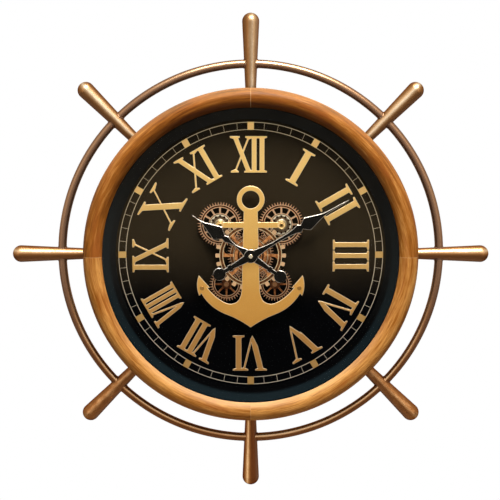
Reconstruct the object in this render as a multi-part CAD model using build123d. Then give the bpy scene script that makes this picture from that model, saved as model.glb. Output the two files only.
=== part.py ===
from build123d import *
import math
import os

# Ship's wheel wall clock: a wood rim and glass over a black dial with a gilt anchor, an open gear train
# and Roman hours, set in a steel wheel with eight handles. Sizes are millimetres. The clock is built
# lying on its back: x to the right, y towards twelve o'clock, z the distance from the wall. It is stood
# up as it is written, so that z is up and the front looks along -y.

# Wheel frame
rim_offset = 35.0  # centreline of the round rim rod outside the wood rim
handle_beyond = 75.0  # handle tips outside that centreline
handle_count = 8
handle_root = 15.4  # diameter where a handle meets the case
handle_end = 25.4  # diameter of the rounded outer end
rim_rod = 12.7
weld_gap = 0.1  # room for the weld between rod and handle
bolt_diameter = 6.0
bolt_reach = 24.0  # length of bolt inside a handle
bolt_head = 10.0
bolt_head_height = 4.0

# Case
band_wall = 1.5
band_depth = 42.0  # from the wall to the front of the flange
flange_width = 8.5
board_thickness = 9.0
board_clearance = 0.25
opening_width = 120.0  # service opening in the back board
opening_above = 46.0  # opening above the dial axis
opening_below = 92.0
opening_corner = 12.0
pillar_diameter = 10.0
pillar_length = 18.0
pillar_count = 8
band_screw = 3.5
band_screw_length = 16.0
band_screw_head = 7.0
band_screw_rise = 2.2
rim_screw = 3.5
rim_screw_length = 11.0
rim_screw_head = 7.0
rim_screw_rise = 2.2
flat_screw = 4.0  # countersunk screws of board, dial and hanger
flat_screw_head = 7.6
flat_screw_sink = 2.0
flat_screw_length = 8.0
hole_clearance = 0.05

# Hanger
hanger_inset = 46.5  # keyhole below the inside of the case band
hanger_width = 24.0
hanger_length = 66.0
hanger_plate = 1.5
keyhole_entry = 9.0
keyhole_slot = 4.4
keyhole_travel = 10.0
keyhole_pocket = 14.0  # width of the room for the wall screw's head
keyhole_pocket_depth = 6.0
keyhole_pocket_corner = 5.0
hanger_screw_span = 50.0

# Wood rim, glass and spacer
wood_radius = 250.0
wood_width = 30.0
wood_overhang = 12.0  # wood beyond the case band
wood_crown = 15.0  # height of the rounded front
wood_lip = 9.0  # wood in front of the glass
rabbet_width = 7.0
glass_thickness = 3.0
glass_clearance = 0.5
glass_gap = 2.0  # between the hand nut and the glass
spacer_wall = 2.0

# Dial and numerals
dial_thickness = 3.0
dial_clearance = 0.5
dial_inset = 16.5  # foot of the spacer inside the wood rim
numeral_inset = 25.3  # heads of the numerals inside the foot of the spacer
numeral_thickness = 1.0
numeral_share = 0.2683  # height of a numeral as a share of the dial in view

# Lettering, as shares of a numeral's height
hairline_share = 0.0531
serif_rise = 0.046
serif_ratio = 2.05  # length of a serif beside the width of its stroke
fine_serif = 0.8  # serif of a hairline beside that of a stem
# Each hour: width of a heavy stroke, pitch of the stems, spread of a five or ten between its stroke ends,
# gap from there to the next stem, and how far the numeral stands clockwise of its hour
lettering = {
    1: (0.185, 0.0, 0.0, 0.0, -0.027),
    2: (0.165, 0.428, 0.0, 0.0, -0.009),
    3: (0.135, 0.304, 0.0, 0.0, 0.027),
    4: (0.158, 0.0, 0.48, 0.151, 0.115),
    5: (0.17, 0.0, 0.63, 0.0, 0.06),
    6: (0.156, 0.0, 0.487, 0.139, 0.024),
    7: (0.148, 0.226, 0.374, 0.106, -0.009),
    8: (0.11, 0.158, 0.311, 0.099, -0.027),
    9: (0.139, 0.0, 0.49, 0.174, -0.018),
    10: (0.2, 0.0, 0.654, 0.0, -0.061),
    11: (0.147, 0.0, 0.487, 0.191, -0.072),
    12: (0.132, 0.215, 0.392, 0.136, -0.062),
}

# Gear train
gear_module = 1.33
centre_teeth = 50
upper_teeth = 48
lower_teeth = 36
pinion_teeth = 12
gear_tooth = (1.4, 1.7, 0.12, 0.42)  # height above and below the pitch in modules, width at tip and root
train_phase = 90.0  # a tooth of the centre gear points up
upper_angle = 45.3  # of the upper gears' axes above the horizontal
lower_angle = 50.5  # of the lower gears' axes below it
gear_gap = 2.0  # between dial and gears
gear_thickness = 3.0
running_fit = 0.05
castle_gap = 2.0
castle_thickness = 3.0
castle_teeth = 24
castle_radius = 53.0
castle_tooth = 6.0
castle_tip = 0.46  # tooth's share of the pitch
castle_foot = 0.46
castle_round = 1.6
castle_rim = 5.8
castle_spokes = 8
castle_spoke = 4.2
castle_flare = 6.0  # large corner of a window, on one side of each spoke
castle_hub = 25.6
castle_hub_groove = 18.4
castle_pockets = 12
castle_pocket = 3.0
castle_pocket_circle = 14.4
groove_width = 1.4
hub_groove_width = 2.8
groove_depth = 0.8
centre_spokes = 6
centre_spoke = 5.0
centre_hub = 13.0
centre_rim = 4.5
upper_spokes = 12
upper_spoke = 2.6
upper_hub = 17.0
upper_rim = 4.3
upper_boss = 15.8  # raised notched ring of the upper gears
upper_boss_rise = 1.4
upper_boss_notches = 12
upper_boss_notch = 3.0
upper_dome = 9.2
upper_dome_top = 2.0  # width of the dome's flat around the bore
lower_spokes = 8
lower_spoke = 2.6
lower_hub = 7.5
lower_rim = 4.0
window_corner = 0.8
post_diameter = 5.0
post_thread = 4.0
post_tail = 5.0  # thread behind the dial
post_head = 7.0
post_head_height = 2.0
washer_diameter = 9.0
post_nut = 7.0
post_nut_height = 3.2
end_play = 0.3
bush_diameter = 12.0
bush_flange = 17.0
bush_flange_height = 1.0
pinion_shaft = 3.0

# Anchor
anchor_gap = 2.5  # in front of the castle wheel
anchor_thickness = 2.0
anchor_bail_height = 84.4  # centre of the ring above the dial axis
anchor_bail = 41.4
anchor_bail_hole = 26.6
anchor_stock = 8.6
anchor_stock_end = 9.6
anchor_shank_top = 20.4
anchor_shank_foot = 26.8
anchor_reach = 77.8  # fluke tip from the middle
anchor_hole = 15.0  # clears the stem nut
anchor_screw = 3.0
anchor_screw_length = 7.0
anchor_screw_head = 6.5
anchor_screw_rise = 1.4
anchor_post = 6.5

# Anchor outline: sideways from the middle and down from the dial axis, as shares of its reach
anchor_shank_low = 0.63
anchor_inner_edge = [
    (0.195, 0.78),
    (0.248, 0.88),
    (0.39, 0.936),
    (0.553, 0.88),
    (0.737, 0.735),
]
anchor_inner_notch = (0.835, 0.625)
anchor_inner_barb = (0.789, 0.621)
anchor_fluke_tip = (1.0, 0.378)
anchor_fluke_back = (1.035, 0.553)
anchor_outer_barb = (0.992, 0.781)
anchor_outer_notch = (0.954, 0.731)
anchor_outer_curve = (0.746, 0.982)
anchor_crown_side = (0.477, 1.14)
anchor_crown_bend = (0.186, 1.278)
anchor_crown = 1.398
anchor_pin = (0.938, 0.625)

# Hands
hand_thickness = 1.2
hour_gap = 2.0  # behind the hour hand
minute_gap = 1.8
hand_hub = 20.4
minute_inset = 35.1  # minute hand's point inside the foot of the spacer
hour_share = 0.6295  # of the minute hand's reach
minute_width = 21.0  # across the shoulders
hour_width = 23.0
tail_centre = 54.0
tail_disc = 19.0
minute_tail = 6.6  # width of the stem that carries the disc
hour_tail = 6.0
ferrule_length = 0.8  # of the stem's width
ferrule_width = 1.5
hand_nut_diameter = 7.0
hand_nut_height = 2.3
minute_turn = 60.0  # degrees clockwise from twelve, as shown
hour_turn = 305.0

# Hand outlines from hub to point: share of the reach, share of half the width
minute_outline = {
    "root": (0.0, 0.667),
    "neck": [(0.1, 0.457), (0.17, 0.295), (0.28, 0.229), (0.39, 0.276), (0.435, 0.352)],
    "bead": (0.496, 0.629),
    "notch": (0.523, 0.333),
    "shoulder": (0.578, 1.0),
    "point": [(0.635, 0.724), (0.686, 0.476), (0.74, 0.257), (0.85, 0.133)],
}
hour_outline = {
    "root": (0.0, 0.565),
    "neck": [(0.145, 0.348), (0.245, 0.148), (0.35, 0.226)],
    "bead": (0.41, 0.435),
    "notch": (0.47, 0.313),
    "shoulder": (0.568, 1.0),
    "point": [(0.63, 0.791), (0.73, 0.461), (0.785, 0.252), (0.86, 0.104)],
}

# Movement
movement_depth = 17.0
movement_width = 57.0
movement_above = 27.0
movement_below = 33.0
case_wall = 1.6
case_corner = 2.0
motion_module = 0.6
motion_tooth = (1.0, 1.25, 0.14, 0.62)  # as for the open gears
cannon_teeth = 10
motion_teeth = 30
motion_pinion_teeth = 8
hour_teeth = 32
motion_thickness = 1.6
motion_clear = 0.8  # between hour wheel and case
motion_layer_gap = 1.0
stem_diameter = 8.0
stem_bore = 5.7
stem_nut_width = 11.0
stem_nut_height = 2.5
hour_tube_bore = 3.3
minute_arbor_diameter = 3.14
motion_arbor = 2.4
bearing_boss = 7.0
knob_diameter = 14.0
knob_height = 4.0
knob_gap = 0.5
knob_ribs = 18
knob_rib = 0.9

# Cells and gear motor
cell_diameter = 14.5
cell_length = 49.5
cell_nub = 5.5
cell_nub_height = 1.0
cell_clearance = 0.25
contact_thickness = 0.5
contact_width = 9.0
cell_drop = 22.0  # movement cell below the dial axis
motor_width = 57.0
motor_top = 34.0  # top of the motor box below the axis
motor_height = 42.0
motor_diameter = 14.0
motor_length = 11.0
motor_cell_drop = 65.0

# Levels in front of the wall
board_front = board_thickness
dial_back = board_front + pillar_length
dial_front = dial_back + dial_thickness
wheel_level = board_front + pillar_length / 2
gear_back = dial_front + gear_gap
gear_front = gear_back + gear_thickness
castle_back = gear_front + castle_gap
castle_front = castle_back + castle_thickness
bush_front = castle_front + end_play + bush_flange_height
anchor_back = castle_front + anchor_gap
anchor_front = anchor_back + anchor_thickness
hour_back = anchor_front + hour_gap
hour_front = hour_back + hand_thickness
minute_back = hour_front + minute_gap
minute_front = minute_back + hand_thickness
glass_back = minute_front + hand_nut_height + glass_gap
glass_front = glass_back + glass_thickness
wood_front = glass_front + wood_lip
wood_side = wood_front - wood_crown
movement_back = dial_back - movement_depth
cell_level = movement_back + movement_depth / 2
hour_wheel_front = dial_back - case_wall - motion_clear
hour_wheel_back = hour_wheel_front - motion_thickness
motion_back = hour_wheel_back - motion_layer_gap - motion_thickness

# Radii about the dial axis
rim_radius = wood_radius + rim_offset
tip_radius = rim_radius + handle_beyond
band_radius = wood_radius - wood_overhang
band_inner = band_radius - band_wall
flange_inner = band_inner - flange_width
flange_middle = band_inner - flange_width / 2
board_radius = band_inner - board_clearance
wood_inner = wood_radius - wood_width
wood_middle = wood_radius - wood_width / 2
rabbet_radius = wood_inner + rabbet_width
glass_radius = rabbet_radius - glass_clearance
dial_radius = band_inner - dial_clearance
dial_view = wood_inner - dial_inset
pillar_circle = (dial_view + dial_radius) / 2
hanger_height = band_inner - hanger_inset
handle_step = 360 / handle_count

# Lettering and hands follow the dial in view
numeral_height = dial_view * numeral_share
numeral_base = dial_view - numeral_inset - numeral_height
hairline = numeral_height * hairline_share
serif_height = numeral_height * serif_rise
minute_reach = dial_view - minute_inset
hour_reach = minute_reach * hour_share

# Gear centres and meshing
upper_distance = gear_module * (centre_teeth + upper_teeth) / 2
lower_distance = gear_module * (centre_teeth + lower_teeth) / 2
pinion_distance = gear_module * (centre_teeth + pinion_teeth) / 2
motion_distance = motion_module * (cannon_teeth + motion_teeth) / 2


def polar(radius, degrees):
    angle = math.radians(degrees)
    return (radius * math.cos(angle), radius * math.sin(angle))


upper_x, upper_y = polar(upper_distance, upper_angle)
lower_x, lower_y = polar(lower_distance, -lower_angle)


def disc(radius, low, high):
    return Pos(0, 0, low) * extrude(Circle(radius), high - low)


def ring(outer, inner, low, high):
    return Pos(0, 0, low) * extrude(Circle(outer) - Circle(inner), high - low)


def block(width, height, low, high, corner=0):
    face = RectangleRounded(width, height, corner) if corner else Rectangle(width, height)
    return Pos(0, 0, low) * extrude(face, high - low)


def turned(*points):
    return revolve(Plane.XZ * make_face(Polyline(*points, close=True)), Axis.Z)


def around(solid, count, first=0):
    return [Rot(0, 0, first + i * 360 / count) * solid for i in range(count)]


# A round-headed screw along z, its head below z = 0
def headed_screw(diameter, length, head, rise):
    shank = disc(diameter / 2, 0, length)
    dome = disc(head / 2, -rise, 0)
    return shank + chamfer(dome.edges().group_by(Axis.Z)[0], rise / 3)


# A countersunk screw along z, its flat head at z = 0
def countersunk_form(extra):
    return turned(
        (0, 0),
        (flat_screw_head / 2 + extra, 0),
        (flat_screw / 2 + extra, flat_screw_sink),
        (flat_screw / 2 + extra, flat_screw_length + extra),
        (0, flat_screw_length + extra),
    )


# Pieces on a radial line: x runs outwards from the dial axis
def radial(solid, level):
    return Pos(0, 0, level) * Rot(0, 90, 0) * solid


# Tapered handle, turned about x: a cone that runs tangent into its round end
def handle_form(extra):
    start = band_radius
    low = handle_root / 2 + extra
    end = handle_end / 2 + extra
    centre = tip_radius - handle_end / 2
    span = math.hypot(centre - start, low)
    slope = math.asin(end / span) - math.atan2(low, centre - start)
    run = math.sqrt(span**2 - end**2)
    touch = (start + run * math.cos(slope), low + run * math.sin(slope))
    turn = math.atan2(touch[1], touch[0] - centre) / 2
    on_round = (centre + end * math.cos(turn), end * math.sin(turn))
    tip = (centre + end, 0)
    outline = [
        Line((start, 0), (start, low)),
        Line((start, low), touch),
        ThreePointArc(touch, on_round, tip),
        Line(tip, (start, 0)),
    ]
    return Pos(0, 0, wheel_level) * revolve(make_face(outline), Axis.X)


bolt_hole = disc(bolt_diameter / 2 + hole_clearance, 0, band_radius + bolt_reach + hole_clearance)
handle = handle_form(0) - radial(bolt_hole, wheel_level)
bolt_seat = math.sqrt(band_inner**2 - (bolt_head / 2) ** 2)
bolt_length = band_radius + bolt_reach - bolt_seat
bolt = headed_screw(bolt_diameter, bolt_length, bolt_head, bolt_head_height)
bolt_in_place = radial(Pos(0, 0, bolt_seat) * bolt, wheel_level)

# One arc of the rim, coped to the handles at both ends
rod_section = Plane.XZ * Pos(rim_radius, wheel_level) * Circle(rim_rod / 2)
rod_sweep = revolve(rod_section, Axis.Z, handle_step)
cope = handle_form(weld_gap)
rim_arc = rod_sweep - cope - Rot(0, 0, handle_step) * cope

# Case band with its flange, holed for handle bolts, board screws and rim screws
band_screw_level = board_thickness / 2
rim_screw_seat = band_depth - band_wall
half_step = handle_step / 2
band_hole = radial(disc(band_screw / 2 + hole_clearance, 0, tip_radius), band_screw_level)
rim_hole = Pos(flange_middle, 0) * disc(rim_screw / 2 + hole_clearance, 0, wood_front)
bolt_holes = around(radial(bolt_hole, wheel_level), handle_count)
band_holes = around(band_hole, handle_count, half_step)
rim_holes = around(rim_hole, handle_count, half_step)
case_band = turned(
    (band_inner, 0),
    (band_radius, 0),
    (band_radius, band_depth),
    (flange_inner, band_depth),
    (flange_inner, rim_screw_seat),
    (band_inner, rim_screw_seat),
)
case_band -= bolt_holes
case_band -= band_holes
case_band -= rim_holes

band_fixing = headed_screw(band_screw, band_screw_length, band_screw_head, band_screw_rise)
band_fixing = radial(Pos(0, 0, band_radius) * Rot(180, 0, 0) * band_fixing, band_screw_level)
rim_fixing = headed_screw(rim_screw, rim_screw_length, rim_screw_head, rim_screw_rise)
rim_fixing = Pos(flange_middle, 0, rim_screw_seat) * rim_fixing

# Board screws enter the pillars from behind and, through the dial, from the front
pillar_place = Pos(pillar_circle, 0)
flat_hole = countersunk_form(hole_clearance)
flat_fixing = countersunk_form(0)
rear_screw = pillar_place * flat_fixing
rear_hole = pillar_place * flat_hole
front_screw = pillar_place * Pos(0, 0, dial_front) * Rot(180, 0, 0) * flat_fixing
front_hole = pillar_place * Pos(0, 0, dial_front) * Rot(180, 0, 0) * flat_hole
pillar_turn = 180 / pillar_count
pillar = pillar_place * disc(pillar_diameter / 2, board_front, dial_back) - rear_hole - front_hole
hanger_places = [
    Pos(0, hanger_height + side * hanger_screw_span / 2, 0) for side in (-1, 1)
]
hanger_screw_list = [place * flat_fixing for place in hanger_places]
board_screws = around(rear_screw, pillar_count, pillar_turn)
board_screws += around(front_screw, pillar_count, pillar_turn)
board_screws += hanger_screw_list

# Back board with service opening, pocket for the hanger and room behind its keyhole
opening_height = opening_above + opening_below
opening_middle = (opening_above - opening_below) / 2
opening = Pos(0, opening_middle) * block(opening_width, opening_height, 0, board_front, opening_corner)
keyhole_middle = hanger_height + keyhole_travel / 2
hanger_recess = Pos(0, hanger_height) * block(hanger_width, hanger_length, 0, hanger_plate)
pocket_length = keyhole_entry + keyhole_travel + keyhole_pocket / 2
pocket = block(keyhole_pocket, pocket_length, 0, keyhole_pocket_depth, keyhole_pocket_corner)
pocket = Pos(0, keyhole_middle) * pocket
board_holes = around(rear_hole, pillar_count, pillar_turn)
board_holes += band_holes
board_holes += [place * flat_hole for place in hanger_places]
back_board = disc(board_radius, 0, board_front) - opening - hanger_recess - pocket - board_holes

entry = Circle(keyhole_entry / 2)
slot = Pos(0, keyhole_travel / 2) * Rectangle(keyhole_slot, keyhole_travel)
keyhole = entry + slot + Pos(0, keyhole_travel) * Circle(keyhole_slot / 2)
plate_face = Rectangle(hanger_width, hanger_length) - keyhole
hanger = Pos(0, hanger_height) * extrude(plate_face, hanger_plate)
hanger -= [place * flat_hole for place in hanger_places]

# Wood rim: square back with a rabbet for the glass, rounded front
lip_rise = max(glass_front - wood_side, 0)
lip_angle = 180 - math.degrees(math.asin(lip_rise / wood_crown))
crown = EllipticalCenterArc(
    (wood_middle, wood_side), wood_width / 2, wood_crown, start_angle=0, arc_size=lip_angle
)
wood_outline = [
    crown,
    Line(crown @ 0, (wood_radius, band_depth)),
    Polyline(
        (wood_radius, band_depth),
        (rabbet_radius, band_depth),
        (rabbet_radius, glass_front),
        crown @ 1,
    ),
]
wood_quarter = revolve(Plane.XZ * make_face(wood_outline), Axis.Z, 90)
rim_screw_ends = Pos(flange_middle, 0, 0) * disc(
    rim_screw / 2 + hole_clearance, 0, rim_screw_seat + rim_screw_length + hole_clearance
)
wood_holes = around(rim_screw_ends, handle_count, half_step)
wood_quarter -= wood_holes
glass = disc(glass_radius, glass_back, glass_front)

# Conical spacer between dial and glass
spacer_foot = dial_front + spacer_wall
spacer_top = glass_back - spacer_wall
spacer_ring = turned(
    (dial_view, dial_front),
    (dial_radius, dial_front),
    (dial_radius, spacer_foot),
    (dial_view + 2 * spacer_wall, spacer_foot),
    (wood_inner + spacer_wall, spacer_top),
    (glass_radius, spacer_top),
    (glass_radius, glass_back),
    (wood_inner, glass_back),
)

# Dial board, holed for the stem, posts, drive shaft and pillars
pin_x = anchor_reach * anchor_pin[0]
pin_y = -anchor_reach * anchor_pin[1]
post_places = {
    "upper": [(-upper_x, upper_y), (upper_x, upper_y)],
    "lower": [(-lower_x, lower_y), (lower_x, lower_y)],
    "fluke": [(-pin_x, pin_y), (pin_x, pin_y)],
}
all_posts = [place for places in post_places.values() for place in places]
post_hole = disc(post_thread / 2 + hole_clearance, 0, dial_front)
shaft_hole = disc(pinion_shaft, 0, dial_front)
dial = disc(dial_radius, dial_back, dial_front)
dial -= disc(stem_diameter / 2 + hole_clearance, 0, dial_front)
dial -= [Pos(x, y) * post_hole for x, y in all_posts]
dial -= Pos(0, -pinion_distance) * shaft_hole
dial -= around(front_hole, pillar_count, pillar_turn)


# Numeral strokes: y runs outwards from the numeral's foot
def stroke(foot, top, width):
    return make_face(
        Polyline(
            (foot - width / 2, 0),
            (foot + width / 2, 0),
            (top + width / 2, numeral_height),
            (top - width / 2, numeral_height),
            close=True,
        )
    )


# A serif under one stroke, rising towards it from both ends
def serif(place, at_top, width):
    outline = Polyline(
        (place - width / 2, 0),
        (place + width / 2, 0),
        (place + width / 2, serif_height),
        (place, serif_height * 2),
        (place - width / 2, serif_height),
        close=True,
    )
    face = make_face(outline)
    if at_top:
        face = Pos(0, numeral_height) * mirror(face, Plane.XZ)
    return face


# A plain serif shared by the strokes from first to last
def bar_serif(first, last, at_top, width):
    middle = (first + last) / 2
    height = numeral_height - serif_height / 2 if at_top else serif_height / 2
    return Pos(middle, height) * Rectangle(last - first + width, serif_height)


# Stems that share a serif at both ends
def stems(first, count, pitch, width):
    last = first + (count - 1) * pitch
    reach = serif_ratio * width
    shape = bar_serif(first, last, False, reach) + bar_serif(first, last, True, reach)
    for i in range(count):
        shape += stroke(first + i * pitch, first + i * pitch, width)
    for place in {first, last}:
        shape += serif(place, False, reach)
        shape += serif(place, True, reach)
    return shape


# A five: heavy stroke on one side, hairline on the other, meeting in a point at the foot
def five(centre, spread, width, heavy_side):
    reach = serif_ratio * width
    heavy = centre + heavy_side * spread / 2
    fine = centre - heavy_side * spread / 2
    shape = stroke(centre, heavy, width) + stroke(centre, fine, hairline)
    left = make_face(Polyline((centre - width, 0), (centre, 0), (centre - width, width * 2), close=True))
    right = mirror(left, Plane.YZ)
    right = Pos(2 * centre, 0) * right
    shape = shape - left - right
    return shape + serif(heavy, True, reach) + serif(fine, True, reach * fine_serif)


# A ten: heavy stroke from top left to bottom right
def ten(centre, spread, width):
    reach = serif_ratio * width
    left = centre - spread / 2
    right = centre + spread / 2
    shape = stroke(right, left, width) + stroke(left, right, hairline)
    shape += serif(left, True, reach) + serif(right, False, reach)
    return shape + serif(right, True, reach * fine_serif) + serif(left, False, reach * fine_serif)


# Each hour as its strokes, laid out about the middle of the numeral. The four has its heavy stroke at
# the right, the other fives at the left.
def numeral(hour, width, pitch, spread, gap):
    if hour <= 3:
        places = [(i - (hour - 1) / 2) * pitch for i in range(hour)]
        return [stems(place, 1, pitch, width) for place in places]
    if hour == 5:
        return [five(0, spread, width, -1)]
    if hour == 10:
        return [ten(0, spread, width)]
    ones = {4: 1, 6: 1, 7: 2, 8: 3, 9: 1, 11: 1, 12: 2}[hour]
    run = gap + (ones - 1) * pitch
    left_end = -(spread + run) / 2
    before = hour in (4, 9)
    cross_middle = left_end + run + spread / 2 if before else left_end + spread / 2
    first = left_end if before else left_end + spread + gap
    shape = stems(first, ones, pitch, width)
    if hour > 8:
        shape += ten(cross_middle, spread, width)
    else:
        shape += five(cross_middle, spread, width, 1 if before else -1)
    near = first + run if before else first - gap
    join = (first, near) if before else (near, first)
    shape += bar_serif(join[0], join[1], True, hairline)
    if hour >= 9:
        shape += bar_serif(join[0], join[1], False, hairline)
    return [shape]


def numeral_solids(hour):
    *sizes, shift = [share * numeral_height for share in lettering[hour]]
    place = Rot(0, 0, -30 * hour) * Pos(shift, numeral_base, dial_front)
    return [place * extrude(shape, numeral_thickness) for shape in numeral(hour, *sizes)]


numerals = [solid for hour in range(1, 13) for solid in numeral_solids(hour)]


# Toothed outline: straight flanks between root and tip, a tooth centred on the phase angle
def toothed(teeth, tip, root, tip_share, root_share, phase):
    step = 360 / teeth
    points = []
    for i in range(teeth):
        middle = phase + i * step
        points.append(polar(root, middle - root_share * step / 2))
        points.append(polar(tip, middle - tip_share * step / 2))
        points.append(polar(tip, middle + tip_share * step / 2))
        points.append(polar(root, middle + root_share * step / 2))
    return make_face(Polyline(*points, close=True))


def spur(teeth, module, phase, tooth):
    above, below, tip_share, root_share = tooth
    pitch = module * teeth / 2
    return toothed(teeth, pitch + above * module, pitch - below * module, tip_share, root_share, phase)


# Phase of a gear so that a gap faces the tooth of its driver on the line between their axes
def meshed(driver_teeth, driver_phase, teeth, direction):
    driver_share = (direction - driver_phase) * driver_teeth / 360
    return direction + 180 - (0.5 - driver_share) * 360 / teeth


# Openings between straight spokes. The flare rounds the outer corner on one side.
def spoke_windows(count, inner, outer, spoke, low, high, flare=window_corner):
    half = 180 / count
    near = half - math.degrees(math.asin(spoke / 2 / inner))
    far = half - math.degrees(math.asin(spoke / 2 / outer))
    outline = [
        ThreePointArc(polar(inner, -near), polar(inner, 0), polar(inner, near)),
        Line(polar(inner, near), polar(outer, far)),
        ThreePointArc(polar(outer, far), polar(outer, 0), polar(outer, -far)),
        Line(polar(outer, -far), polar(inner, -near)),
    ]
    face = make_face(outline)
    corners = face.vertices().sort_by_distance((*polar(outer, far), 0))
    face = fillet(corners[1:], window_corner)
    corner = face.vertices().sort_by_distance((*polar(outer, far), 0))[0]
    face = fillet(corner, flare)
    window = Pos(0, 0, low) * extrude(face, high - low)
    return around(window, count, half)


def groove(radius, front, width=groove_width):
    half = width / 2
    return ring(radius + half, radius - half, front - groove_depth, front)


def root_radius(teeth):
    return gear_module * (teeth / 2 - gear_tooth[1])


def open_gear(teeth, phase):
    return Pos(0, 0, gear_back) * extrude(spur(teeth, gear_module, phase, gear_tooth), gear_thickness)


# Centre gear and castle wheel turn together on the bush
bush_bore = bush_diameter / 2 + running_fit
centre_inner = root_radius(centre_teeth) - centre_rim
centre_gear = open_gear(centre_teeth, train_phase)
centre_gear -= spoke_windows(centre_spokes, centre_hub, centre_inner, centre_spoke, gear_back, gear_front)
centre_gear += disc(centre_hub, gear_front, castle_back)
centre_gear += disc(centre_hub, dial_front + end_play, gear_back)
centre_gear -= disc(bush_bore, 0, castle_back)

castle_root = castle_radius - castle_tooth
castle_face = toothed(
    castle_teeth, castle_radius, castle_root, castle_tip, castle_foot, train_phase
)
tooth_middle = castle_radius - castle_tooth / 2
tooth_corners = [
    corner for corner in castle_face.vertices() if math.hypot(corner.X, corner.Y) > tooth_middle
]
castle_face = fillet(tooth_corners, castle_round)
castle_inner = castle_root - castle_rim
castle_wheel = Pos(0, 0, castle_back) * extrude(castle_face, castle_thickness)
castle_wheel -= spoke_windows(
    castle_spokes, castle_hub, castle_inner, castle_spoke, castle_back, castle_front, castle_flare
)
castle_wheel -= groove(castle_root - castle_rim / 2, castle_front)
castle_wheel -= groove(castle_hub_groove, castle_front, hub_groove_width)
castle_pit = block(castle_pocket, castle_pocket, castle_front - groove_depth, castle_front)
castle_wheel -= around(Pos(castle_pocket_circle, 0) * castle_pit, castle_pockets)
castle_wheel -= disc(bush_bore, 0, castle_front)

centre_bush = ring(bush_diameter / 2, stem_diameter / 2 + hole_clearance, dial_front, bush_front)
centre_bush += ring(bush_flange / 2, bush_diameter / 2 - running_fit, castle_front + end_play, bush_front)

# Gears on posts
post_bore = post_diameter / 2 + running_fit
boss_front = gear_front + upper_boss_rise
dome_front = anchor_back - end_play


def upper_gear(phase):
    inner = root_radius(upper_teeth) - upper_rim
    gear = open_gear(upper_teeth, phase)
    gear -= spoke_windows(upper_spokes, upper_hub, inner, upper_spoke, gear_back, gear_front)
    gear -= groove(root_radius(upper_teeth) - upper_rim / 2, gear_front)
    boss = ring(upper_boss, upper_dome, gear_front, boss_front)
    notch_length = (upper_boss - upper_dome) / 2
    notch = block(notch_length, upper_boss_notch, boss_front - groove_depth, boss_front)
    boss -= around(Pos((upper_boss + upper_dome) / 2, 0) * notch, upper_boss_notches)
    gear += boss
    gear += turned(
        (0, gear_front),
        (upper_dome, gear_front),
        (upper_dome, boss_front),
        (post_bore + upper_dome_top, dome_front),
        (0, dome_front),
    )
    return gear - disc(post_bore, 0, dome_front)


def lower_gear(phase):
    inner = root_radius(lower_teeth) - lower_rim
    gear = open_gear(lower_teeth, phase)
    gear -= spoke_windows(lower_spokes, lower_hub, inner, lower_spoke, gear_back, gear_front)
    gear -= groove(root_radius(lower_teeth) - lower_rim / 2, gear_front)
    return gear - disc(post_bore, 0, gear_front)


upper_directions = (180 - upper_angle, upper_angle)
lower_directions = (180 + lower_angle, -lower_angle)
upper_gears = [
    Pos(x, y) * upper_gear(meshed(centre_teeth, train_phase, upper_teeth, direction))
    for (x, y), direction in zip(post_places["upper"], upper_directions)
]
lower_gears = [
    Pos(x, y) * lower_gear(meshed(centre_teeth, train_phase, lower_teeth, direction))
    for (x, y), direction in zip(post_places["lower"], lower_directions)
]

pinion_phase = meshed(centre_teeth, train_phase, pinion_teeth, -90)
motor_front = dial_back - case_wall
motor_back = motor_front - motor_length
drive_pinion = open_gear(pinion_teeth, pinion_phase)
drive_pinion += disc(pinion_shaft / 2, motor_back + case_wall, gear_back)
drive_pinion = Pos(0, -pinion_distance) * drive_pinion

# Posts: a thread through the dial, an axle or pillar in front of it
tail = disc(post_thread / 2, dial_back - post_tail, gear_back)
screw_bore = disc(anchor_screw / 2 + hole_clearance, anchor_front - anchor_screw_length, anchor_front)
upper_post = tail + disc(post_diameter / 2, gear_back, anchor_back) - screw_bore
head_back = gear_front + end_play
lower_post = tail + disc(post_diameter / 2, gear_back, head_back)
lower_post += disc(post_head / 2, head_back, head_back + post_head_height)
fluke_tail = disc(post_thread / 2, dial_back - post_tail, dial_front)
fluke_post = fluke_tail + disc(anchor_post / 2, dial_front, anchor_back) - screw_bore
post_forms = {"upper": upper_post, "lower": lower_post, "fluke": fluke_post}
dial_posts = [
    Pos(x, y) * post_forms[kind] for kind, places in post_places.items() for x, y in places
]
washer = ring(washer_diameter / 2, post_thread / 2 + hole_clearance, dial_front, gear_back)
gear_washers = [Pos(x, y) * washer for x, y in post_places["upper"] + post_places["lower"]]


def hex_nut(width, bore, low, high):
    face = RegularPolygon(width / 2, 6, major_radius=False) - Circle(bore / 2 + hole_clearance)
    return Pos(0, 0, low) * extrude(face, high - low)


rear_nut = hex_nut(post_nut, post_thread, dial_back - post_nut_height, dial_back)
post_nuts = [Pos(x, y) * rear_nut for x, y in all_posts]
stem_end = bush_front + stem_nut_height
stem_nut = hex_nut(stem_nut_width, stem_diameter, bush_front, stem_end)


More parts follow.
